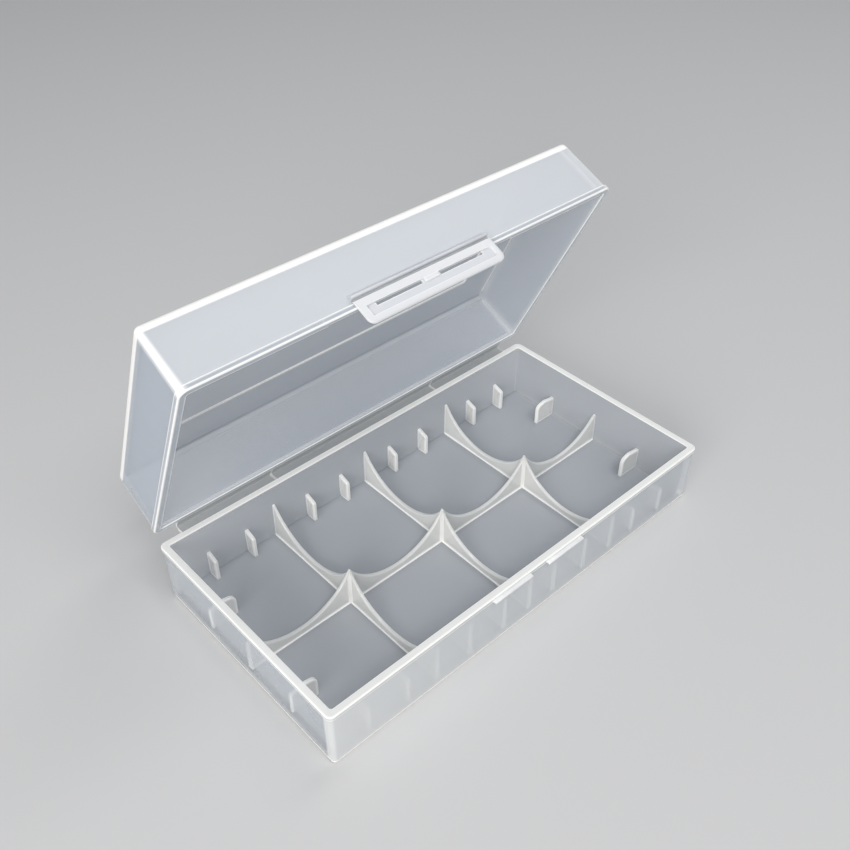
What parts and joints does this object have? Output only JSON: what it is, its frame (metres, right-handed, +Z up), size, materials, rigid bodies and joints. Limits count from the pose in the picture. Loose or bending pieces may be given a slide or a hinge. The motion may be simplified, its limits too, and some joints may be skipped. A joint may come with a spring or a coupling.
{
  "type": "hinged battery storage case",
  "caption": "Clear moulded case with a scalloped tray for round cells, a lid on a living hinge and a snap latch flap.",
  "frame": {"origin": "middle of the tray's flat underside, on the surface that it stands on", "axes": "+X along the hinge, to the right seen from the latch; +Y from the latch to the hinge; +Z up"},
  "size_m": [0.142, 0.0946, 0.0973],
  "materials": {
    "clear_polypropylene": "natural translucent polypropylene, moulded gloss, milky at edges and ribs"
  },
  "bodies": {
    "tray": {"back_stop_1": "clear_polypropylene", "back_stop_2": "clear_polypropylene", "back_stop_3": "clear_polypropylene", "back_stop_4": "clear_polypropylene", "back_stop_5": "clear_polypropylene", "back_stop_6": "clear_polypropylene", "back_stop_7": "clear_polypropylene", "back_stop_8": "clear_polypropylene", "base_tray": "clear_polypropylene", "catch_bar_left": "clear_polypropylene", "catch_bar_right": "clear_polypropylene", "cross_divider_centre_back": "clear_polypropylene", "cross_divider_centre_front": "clear_polypropylene", "cross_divider_left_back": "clear_polypropylene", "cross_divider_left_front": "clear_polypropylene", "cross_divider_right_back": "clear_polypropylene", "cross_divider_right_front": "clear_polypropylene", "end_stop_left_back": "clear_polypropylene", "end_stop_left_front": "clear_polypropylene", "end_stop_right_back": "clear_polypropylene", "end_stop_right_front": "clear_polypropylene", "front_gusset_1": "clear_polypropylene", "front_gusset_2": "clear_polypropylene", "front_gusset_3": "clear_polypropylene", "front_gusset_4": "clear_polypropylene", "front_stop_1": "clear_polypropylene", "front_stop_2": "clear_polypropylene", "front_stop_3": "clear_polypropylene", "front_stop_4": "clear_polypropylene", "length_divider": "clear_polypropylene", "lid_hinge_film": "clear_polypropylene", "tray_hinge_land": "clear_polypropylene"},
    "lid": {"lid_shell": "clear_polypropylene", "lid_hinge_land": "clear_polypropylene", "latch_land": "clear_polypropylene", "latch_hinge_film": "clear_polypropylene"},
    "latch": {"latch_flap": "clear_polypropylene"}
  },
  "joints": [
    {"name": "lid_hinge", "type": "hinge", "parent": "tray", "child": "lid", "pos_m": [0, 0.04, 0.0201], "axis": [-1, 0, 0], "range_deg": [-64.17, 115.83]},
    {"name": "latch_hinge", "type": "hinge", "parent": "lid", "child": "latch", "pos_m": [0, 0.0081, 0.09104], "axis": [-1, 0, 0], "range_deg": [0, 70]}
  ]
}
